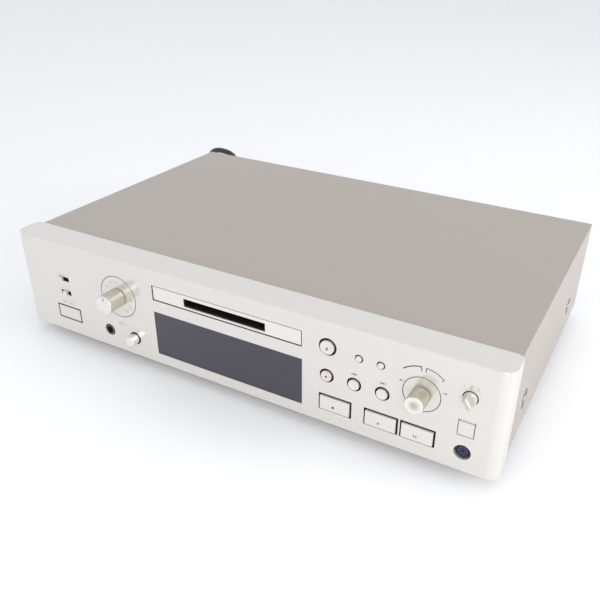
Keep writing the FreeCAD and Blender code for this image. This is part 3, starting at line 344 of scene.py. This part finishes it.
INK_RED = material("ink_red", (0.13, 0.022, 0.02), rough=0.45, var=0.12, grain=4000)
# painted shade for the bottom of the ring grooves round the level and jog knobs
GROOVE_SHADE = material("groove_painted_shade", (0.05, 0.042, 0.036), rough=0.5, var=0.15, grain=2500)
# painted shade and reflection: the knob side behind the end face is tinted darker tan
KNOB_TURNED = material("knob_turned", (0.80, 0.775, 0.74), metallic=0.6, rough=0.28, var=0.01, grain=5000, rough_var=0.01,
                       painted_shade_depth=-16.45, dark=(0.58, 0.555, 0.48), painted_shade_metal=0.6)
# painted shade and reflection: the ribbed side behind the end rim is tinted darker tan
JOG_RIBBED = material("jog_ribbed", (0.78, 0.75, 0.71), metallic=0.35, rough=0.34, var=0.01, grain=5000, rough_var=0.01,
                      painted_shade_depth=-14.2, dark=(0.50, 0.47, 0.38), painted_shade_metal=0.35)
BRONZE = material("bronze", (0.20, 0.15, 0.115), metallic=0.85, rough=0.28, var=0.05, grain=3000)
FRAME_DARK = material("frame_dark", (0.06, 0.045, 0.038), rough=0.4, var=0.1, grain=3000)
FLOOR_MAT = material("floor_pale", (0.93, 0.935, 0.945), rough=0.50, var=0.010, scale=3.0, grain=60.0)
COLLAR = {
    "white": material("collar_white", (0.74, 0.73, 0.70), rough=0.4, var=0.03, grain=1500),
    "red": material("collar_red", (0.52, 0.035, 0.03), rough=0.4, var=0.05, grain=1500),
    "orange": material("collar_orange", (0.72, 0.25, 0.04), rough=0.4, var=0.05, grain=1500),
}
flo.materials.append(FLOOR_MAT)
cu.materials.append(M["cord_black"])

slot_of = {row["node"]: row["material_slot"] for row in frame["record"]["subparts"]}
for name, ob in N.items():
    ob.data.materials.clear()
    ob.data.materials.append(M[slot_of[name]])
N["slot_flap"].data.materials[0] = M["black_plastic"]
N["phones_jack_bushing"].data.materials[0] = BRONZE


# ---------------------------------------------------------------- edge rounding helper for the imported solids, not called here
def rounded(name, width, angle=40.0, segments=2):
    ob = N[name]
    w = ob.modifiers.new("join", "WELD")
    w.merge_threshold = 2e-6
    d = ob.modifiers.new("flat", "DECIMATE")
    d.decimate_type = "DISSOLVE"
    d.angle_limit = math.radians(0.5)
    b = ob.modifiers.new("edge", "BEVEL")
    b.width = width / 1000.0
    b.segments = segments
    b.limit_method = "ANGLE"
    b.angle_limit = math.radians(angle)
    b.harden_normals = True
    b.miter_outer = "MITER_ARC"
    b.use_clamp_overlap = True


# ---------------------------------------------------------------- building blocks
def lathe(name, centre, profile, body, mat, n=96, rib=None, smooth=30.0):
    """A solid of revolution round a line along y. profile is [(r, y)] from one
    end of the axis to the other. rib is (count, depth, y0, y1)."""
    cx, cz = centre
    verts, faces, rings = [], [], []
    for r, y in profile:
        if r < 1e-6:
            rings.append([len(verts)])
            verts.append(P(cx, y, cz))
            continue
        ring = []
        for i in range(n):
            t = 2 * math.pi * i / n
            rr = r
            if rib and rib[2] <= y <= rib[3]:
                rr = r - rib[1] * (0.5 - 0.5 * math.cos(rib[0] * t))
            ring.append(len(verts))
            verts.append(P(cx + rr * math.cos(t), y, cz + rr * math.sin(t)))
        rings.append(ring)
    for a, b in zip(rings, rings[1:]):
        if len(a) == 1 and len(b) == 1:
            continue
        for i in range(n):
            j = (i + 1) % n
            if len(a) == 1:
                faces.append((a[0], b[i], b[j]))
            elif len(b) == 1:
                faces.append((a[i], a[j], b[0]))
            else:
                faces.append((a[i], a[j], b[j], b[i]))
    ob = new_object(name, verts, faces, body, smooth)
    ob.data.materials.append(mat)
    return ob


def plates(name, shapes, y0, y1, body, mat):
    """Thin solid shapes standing on a plane that faces the front: each is a
    closed outline of (x, z)."""
    verts, faces = [], []
    for poly in shapes:
        n = len(poly)
        k = len(verts)
        verts += [P(x, y0, z) for x, z in poly] + [P(x, y1, z) for x, z in poly]
        faces.append(tuple(range(k, k + n)))
        faces.append(tuple(range(k + 2 * n - 1, k + n - 1, -1)))
        for i in range(n):
            j = (i + 1) % n
            faces.append((k + i, k + j, k + n + j, k + n + i))
    ob = new_object(name, verts, faces, body, 20.0)
    ob.data.materials.append(mat)
    return ob


def line(x0, z0, x1, z1, w):
    d = math.hypot(x1 - x0, z1 - z0)
    px, pz = -(z1 - z0) / d * w / 2, (x1 - x0) / d * w / 2
    return [(x0 + px, z0 + pz), (x1 + px, z1 + pz), (x1 - px, z1 - pz), (x0 - px, z0 - pz)]


def arc(cx, cz, r, a0, a1, w, n=40):
    ts = [math.radians(a0 + (a1 - a0) * i / n) for i in range(n + 1)]
    return ([(cx + (r + w / 2) * math.cos(t), cz + (r + w / 2) * math.sin(t)) for t in ts]
            + [(cx + (r - w / 2) * math.cos(t), cz + (r - w / 2) * math.sin(t)) for t in reversed(ts)])


def disc(cx, cz, r, n=28):
    return [(cx + r * math.cos(2 * math.pi * i / n), cz + r * math.sin(2 * math.pi * i / n)) for i in range(n)]


def box2(x0, x1, z0, z1):
    return [(x0, z0), (x1, z0), (x1, z1), (x0, z1)]


def tri(cx, cz, s, way):
    """A triangle of half height s pointing left (-1) or right (1)."""
    return [(cx - way * s * 0.85, cz - s), (cx + way * s * 0.85, cz), (cx - way * s * 0.85, cz + s)]


DIGIT = {  # plain stroke digits on a 4 x 6 grid
    "0": [[(1, 0), (3, 0), (4, 1), (4, 5), (3, 6), (1, 6), (0, 5), (0, 1), (1, 0)]],
    "1": [[(1, 5), (2, 6), (2, 0)]],
    "2": [[(0, 5), (1, 6), (3, 6), (4, 5), (4, 4), (0, 0), (4, 0)]],
    "3": [[(0, 6), (4, 6), (2, 3.6), (3, 3.6), (4, 2.6), (4, 1), (3, 0), (1, 0), (0, 1)]],
    "4": [[(3, 0), (3, 6), (0, 2), (4, 2)]],
    "5": [[(4, 6), (0.5, 6), (0, 3.2), (1, 3.7), (3, 3.7), (4, 2.7), (4, 1), (3, 0), (1, 0), (0, 0.8)]],
    "6": [[(3.6, 6), (1.4, 6), (0, 4), (0, 1), (1, 0), (3, 0), (4, 1), (4, 2.6), (3, 3.5), (1, 3.5), (0, 2.6)]],
    "7": [[(0, 6), (4, 6), (1.5, 0)]],
    "8": [[(1, 3.3), (0, 2.4), (0, 0.9), (1, 0), (3, 0), (4, 0.9), (4, 2.4), (3, 3.3), (1, 3.3), (0.2, 4.1), (0.2, 5.2), (1, 6), (3, 6), (3.8, 5.2), (3.8, 4.1), (3, 3.3)]],
    "9": [[(0.4, 0), (2.6, 0), (4, 2), (4, 5), (3, 6), (1, 6), (0, 5), (0, 3.5), (1, 2.6), (3, 2.6), (4, 3.4)]],
    "O": [[(1, 0), (3, 0), (4, 1), (4, 5), (3, 6), (1, 6), (0, 5), (0, 1), (1, 0)]],
    "N": [[(0, 0), (0, 6), (4, 0), (4, 6)]],
    "F": [[(0, 0), (0, 6), (4, 6)], [(0, 3.2), (3.2, 3.2)]],
}


def word(text, cx, cz, h, w=None):
    """Strokes of a short word of plain digits, or ON and OFF, centred at a point."""
    s = h / 6.0
    w = w or h * 0.13
    out = []
    total = len(text) * 4 * s + (len(text) - 1) * 1.8 * s
    x = cx - total / 2
    for ch in text:
        for run in DIGIT[ch]:
            for (ax, az), (bx, bz) in zip(run, run[1:]):
                out.append(line(x + ax * s, cz - h / 2 + az * s, x + bx * s, cz - h / 2 + bz * s, w))
        x += 5.8 * s
    return out


# ---------------------------------------------------------------- knobs
LV = (-105.5, 52.8)
ob = lathe("level_knob_turned", LV, [
    (0.0, -0.45), (6.9, -0.45), (7.55, -0.5), (7.92, -0.75), (8.0, -1.2), (8.0, -15.75), (7.93, -16.3), (7.72, -16.75),
    (7.4, -16.97), (7.1, -17.0), (6.95, -16.98), (6.8, -16.72), (6.2, -16.66), (6.05, -16.72), (5.6, -16.70),
    (5.45, -16.63), (4.6, -16.62), (4.45, -16.68), (3.7, -16.66), (3.5, -16.6), (2.2, -16.57), (2.0, -16.62),
    (1.0, -16.6), (0.0, -16.6)], "level_control", KNOB_TURNED, n=128)
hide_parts("level_knob")
ob = plates("level_knob_marker", [box2(LV[0] - 0.32, LV[0] + 0.32, LV[1] + 3.4, LV[1] + 6.6)], -16.76, -16.4, "level_control", INK)

JG = (159.7, 52.3)
ob = lathe("jog_knob_ribbed", JG, [
    (0.0, -1.45), (6.2, -1.45), (6.62, -1.6), (6.7, -2.0), (6.7, -2.4), (6.8, -2.7), (6.8, -6.0), (6.8, -10.0), (6.8, -12.9),
    (6.72, -13.2), (6.72, -13.75), (6.6, -14.15), (6.3, -14.42), (5.9, -14.5), (5.6, -14.5), (5.3, -14.4), (3.5, -14.22), (1.6, -14.12), (0.0, -14.1)],
    "jog_knob", JOG_RIBBED, n=360, rib=(60, 0.26, -12.95, -2.65), smooth=35)
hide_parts("jog_knob")

PH = (-92.3, 17.0)
ob = lathe("phones_level_cap", PH, [
    (0.0, 4.4), (2.0, 4.4), (2.0, 4.35), (4.4, 4.3), (4.6, 4.1), (4.6, 0.4), (4.6, -1.0), (4.6, -6.3), (4.54, -6.75), (4.35, -7.15), (4.0, -7.42), (3.6, -7.5),
    (2.6, -7.46), (1.2, -7.4), (0.0, -7.38)], "phones_level_knob", M["chrome"], n=216, rib=(36, 0.12, -6.4, -0.9), smooth=35)
ob2 = lathe("phones_level_stem", PH, [(0.0, 21.0), (1.8, 21.0), (2.0, 20.8), (2.0, 4.3), (0.0, 4.3)], "phones_level_knob", M["steel"], n=40)
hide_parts("phones_level_knob")

SE = (192.1, 61.4)


def selector():
    """A finger bar that narrows towards its front edge, and its pointer line."""
    a = math.radians(32.0)

    def turn(x, y, z):
        # the bar points up and to the left
        return P(SE[0] + x * math.cos(a) - z * math.sin(a), y, SE[1] + x * math.sin(a) + z * math.cos(a))

    verts, faces = [], []
    levels = [(-1.6, 1.8, 4.45), (-2.6, 1.8, 4.45), (-5.5, 1.62, 4.42), (-7.6, 1.5, 4.40), (-8.25, 1.32, 4.22), (-8.55, 0.95, 3.9), (-8.6, 0.55, 3.5)]
    n = 40
    for y, hx, hz in levels:
        for i in range(n):
            t = 2 * math.pi * i / n
            c, s = math.cos(t), math.sin(t)
            ex = 0.35
            verts.append(turn(hx * math.copysign(abs(c) ** ex, c), y, hz * math.copysign(abs(s) ** ex, s)))
    for k in range(len(levels) - 1):
        for i in range(n):
            j = (i + 1) % n
            faces.append((k * n + i, k * n + j, (k + 1) * n + j, (k + 1) * n + i))
    faces.append(tuple(range(n)))
    faces.append(tuple(range(len(verts) - 1, len(verts) - 1 - n, -1)))
    ob = new_object("selector_grip", verts, faces, "selector_knob", 40)
    ob.data.materials.append(M["knob_grip_painted_shade"])
    x0, z0 = SE[0] - 2.2 * math.sin(a), SE[1] + 2.2 * math.cos(a)
    x1, z1 = SE[0] - 4.0 * math.sin(a), SE[1] + 4.0 * math.cos(a)
    mark = plates("selector_line", [line(x0, z0, x1, z1, 0.5)], -8.58, -7.5, "selector_knob", INK)
    return ob, mark


# painted shade: the finger bar is a darker greenish tan than the foot, standing for its shaded side
M["knob_grip_painted_shade"] = material("knob_grip_painted_shade", (0.58, 0.56, 0.49), metallic=0.5, rough=0.26, var=0.01, grain=5000, rough_var=0.01)
grip, grip_line = selector()
foot = lathe("selector_foot", SE, [
    (0.0, 4.4), (4.5, 4.4), (4.7, 4.2), (4.7, 0.4), (4.7, -1.7), (4.62, -2.0), (4.35, -2.2), (0.0, -2.2)], "selector_knob", M["button_grey"], n=80)
stem = lathe("selector_stem", SE, [(0.0, 21.0), (1.8, 21.0), (2.0, 20.8), (2.0, 4.3), (0.0, 4.3)], "selector_knob", M["steel"], n=40)
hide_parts("selector_knob")

# ---------------------------------------------------------------- marks on the controls
ob = plates("stop_mark", [box2(95.0 - 0.95, 95.0 + 0.95, 16.9 - 0.95, 16.9 + 0.95)], -1.33, -1.2, "stop_button", INK)
ob = plates("play_mark", [tri(131.1, 16.9, 1.1, 1)], -1.33, -1.2, "play_button", INK)
ob = plates("pause_mark", [box2(157.4, 158.0, 15.8, 18.0), box2(159.1, 159.7, 15.8, 18.0)], -1.33, -1.2, "pause_button", INK)


def cap_depth(r, rc, p):
    """Height of the dished face at a distance r from its middle."""
    a = rc - 0.9
    rad = (a * a + 0.45 * 0.45) / 0.9
    return -p - rad + 0.45 + math.sqrt(max(rad * rad - r * r, 0.0))


yb = cap_depth(1.6, 5.4, 1.6)
ob = plates("eject_mark", [[(88.0, 65.7), (90.0, 65.7), (89.0, 67.0)], box2(88.0, 90.0, 64.75, 65.25)], yb - 0.10, yb + 0.5, "eject_button", INK)
yb = cap_depth(0.8, 4.2, 1.4)
ob = plates("record_mark", [disc(88.6, 42.0, 0.85)], yb - 0.08, yb + 0.5, "record_button", INK_RED)

# ---------------------------------------------------------------- printed marks on the front
dark_marks, soft_marks = [], []
# arcs over the jog dial, each with a short inward foot
dark_marks += [arc(JG[0], JG[1], 21.6, 94.7, 132, 0.8), arc(JG[0], JG[1], 21.6, 49, 85.4, 0.6)]
for a in (94.7, 85.4, 49.0):
    t = math.radians(a)
    r_in = 18.3 if a != 49.0 else 19.6
    dark_marks.append(line(JG[0] + r_in * math.cos(t), JG[1] + r_in * math.sin(t), JG[0] + 21.8 * math.cos(t), JG[1] + 21.8 * math.sin(t), 0.6))
# turning arrows beside it
dark_marks += [tri(144.0, 58.7, 0.8, -1), line(144.4, 58.7, 146.6, 58.7, 0.35)]
dark_marks += [tri(176.4, 58.7, 0.8, 1), line(173.6, 58.7, 176.0, 58.7, 0.35)]
# skip arrows
for cx, way in ((110.4, -1), (131.9, 1)):
    dark_marks += [tri(cx - 0.95, 51.2, 0.95, way), tri(cx + 0.75, 51.2, 0.95, way), box2(cx + way * 2.05 - 0.2, cx + way * 2.05 + 0.2, 50.25, 52.15)]
# record level scale, 0 to 10
for i in range(11):
    t = math.radians(240.0 - 30.0 * i)
    soft_marks.append(disc(LV[0] + 16.5 * math.cos(t), LV[1] + 16.5 * math.sin(t), 0.36, 16))
    soft_marks += word(str(i), LV[0] + 13.4 * math.cos(t), LV[1] + 13.4 * math.sin(t), 2.0, 0.28)
# selector positions
for i, turn_deg in enumerate((32.0, 2.0, -28.0)):
    t = math.radians(90.0 + turn_deg)
    soft_marks.append(disc(SE[0] + 6.7 * math.cos(t), SE[1] + 6.7 * math.sin(t), 0.32, 16))
    soft_marks += word(str(i + 1), SE[0] + 9.0 * math.cos(t), SE[1] + 9.0 * math.sin(t), 1.8, 0.26)
# switch stops
for zc in (53.3, 40.1):
    for dx in (-3.2, 0.0, 3.2):
        soft_marks.append(box2(-167.0 + dx - 0.14, -167.0 + dx + 0.14, zc + 3.0, zc + 4.2))
# power
soft_marks += word("ON", -171.4, 30.0, 1.7, 0.26) + word("OFF", -162.6, 30.0, 1.7, 0.26)
soft_marks.append(line(-168.0, 29.1, -166.6, 30.9, 0.24))
# headphones, over the socket and its level knob
soft_marks += [arc(-106.4, 27.2, 1.75, 0, 180, 0.3, 24), box2(-108.5, -107.6, 25.5, 27.4), box2(-105.2, -104.3, 25.5, 27.4)]
ob = plates("front_print_dark", dark_marks, -0.03, 0.1, "deck", INK)
ob = plates("front_print_grey", soft_marks, -0.03, 0.1, "deck", INK_SOFT)


# painted shade: dark rings at the bottom of the ring grooves
def ring(name, centre, r0, r1, y0, y1, body, mat, n=128):
    ob = lathe(name, centre, [(r0, y1), (r1, y1), (r1, y0), (r0, y0), (r0, y1)], body, mat, n=n, smooth=30)
    return ob


ob = ring("level_ring_painted_shade", LV, 18.12, 18.68, 0.12, 0.42, "deck", GROOVE_SHADE)
ob = ring("jog_ring_painted_shade", JG, 13.12, 13.68, 0.12, 0.42, "deck", GROOVE_SHADE)

# ---------------------------------------------------------------- strain relief
sr = [(0.0, 272.0), (5.5, 272.0), (5.5, 279.05), (7.6, 279.05), (7.8, 279.3), (7.8, 280.6), (7.4, 281.1), (6.6, 281.4)]
for k in range(6):
    y = 282.0 + k * 3.1
    r = 6.55 - k * 0.36
    sr += [(r, y), (r, y + 1.6), (r - 0.75, y + 1.9), (r - 0.8, y + 2.8)]
sr += [(4.25, 300.8), (4.15, 303.0), (3.95, 303.5), (3.3, 303.5), (0.0, 303.5)]
ob = lathe("lead_strain_relief", (-204.0, 56.0), sr, "deck", M["rubber"], n=64)
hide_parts("strain_relief")

# ---------------------------------------------------------------- coloured collars on the pin jacks
for x, tone in ((-20.0, "white"), (0.0, "red"), (40.0, "white"), (60.0, "red"), (100.0, "orange")):
    ob = lathe("jack_collar_" + tone + "_" + str(int(x + 20)), (x, 24.0),
               [(5.05, 278.9), (6.5, 278.9), (6.5, 279.9), (6.35, 280.15), (6.1, 280.2), (5.2, 280.2), (5.05, 280.05), (5.05, 278.9)],
               "deck", COLLAR[tone], n=64)

bpy.context.view_layer.update()
